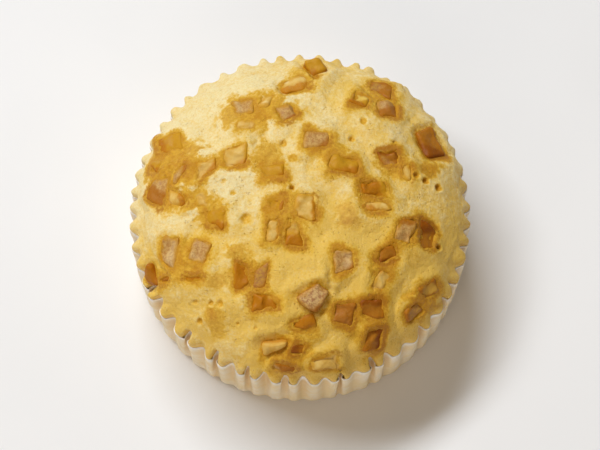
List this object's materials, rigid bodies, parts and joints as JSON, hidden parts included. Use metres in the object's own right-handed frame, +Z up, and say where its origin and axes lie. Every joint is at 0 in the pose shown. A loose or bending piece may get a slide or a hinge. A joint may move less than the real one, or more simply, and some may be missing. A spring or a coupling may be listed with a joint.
{
  "type": "steamed cake",
  "caption": "Round steamed sponge cake in a pleated paper case, its domed top set with candied sweet potato dice; stands on its flat base.",
  "frame": {"origin": "middle of the flat base", "axes": "+Z up through the middle of the dome, -Y towards the front of the picture, +X to its right"},
  "size_m": [0.09, 0.09, 0.0465],
  "materials": {
    "paper": "thin white greaseproof paper, pleated, cream where the sponge touches it",
    "sponge": "soft, matt, fine-pored yellow crumb skin",
    "candied_amber": "translucent amber flesh with a thin sticky gloss",
    "candied_pale": "pale yellow translucent flesh, soft sheen",
    "candied_skin": "speckled mauve-brown skin, dull with a slight sheen",
    "candied_brown": "dark brown syrup-soaked flesh, glossy"
  },
  "bodies": {
    "root": {"paper_case": "paper", "sponge": "sponge", "amber_dice_01": "candied_amber", "amber_dice_02": "candied_amber", "amber_dice_03": "candied_amber", "amber_dice_04": "candied_amber", "amber_dice_05": "candied_amber", "amber_dice_06": "candied_amber", "amber_dice_07": "candied_amber", "amber_dice_08": "candied_amber", "amber_dice_09": "candied_amber", "amber_dice_10": "candied_amber", "amber_dice_11": "candied_amber", "amber_dice_12": "candied_amber", "amber_dice_13": "candied_amber", "amber_dice_14": "candied_amber", "pale_dice_01": "candied_pale", "pale_dice_02": "candied_pale", "pale_dice_03": "candied_pale", "pale_dice_04": "candied_pale", "pale_dice_05": "candied_pale", "pale_dice_06": "candied_pale", "pale_dice_07": "candied_pale", "pale_dice_08": "candied_pale", "pale_dice_09": "candied_pale", "pale_dice_10": "candied_pale", "pale_dice_11": "candied_pale", "pale_dice_12": "candied_pale", "pale_dice_13": "candied_pale", "pale_dice_14": "candied_pale", "skin_dice_01": "candied_skin", "skin_dice_02": "candied_skin", "skin_dice_03": "candied_skin", "skin_dice_04": "candied_skin", "skin_dice_05": "candied_skin", "skin_dice_06": "candied_skin", "skin_dice_07": "candied_skin", "skin_dice_08": "candied_skin", "skin_dice_09": "candied_skin", "skin_dice_10": "candied_skin", "skin_dice_11": "candied_skin", "skin_dice_12": "candied_skin", "skin_dice_13": "candied_skin", "brown_dice_01": "candied_brown", "brown_dice_02": "candied_brown", "brown_dice_03": "candied_brown", "brown_dice_04": "candied_brown", "brown_dice_05": "candied_brown", "brown_dice_06": "candied_brown", "brown_dice_07": "candied_brown", "brown_dice_08": "candied_brown", "brown_dice_09": "candied_brown", "brown_dice_10": "candied_brown", "brown_dice_11": "candied_brown", "brown_dice_12": "candied_brown", "brown_dice_13": "candied_brown"}
  },
  "joints": []
}
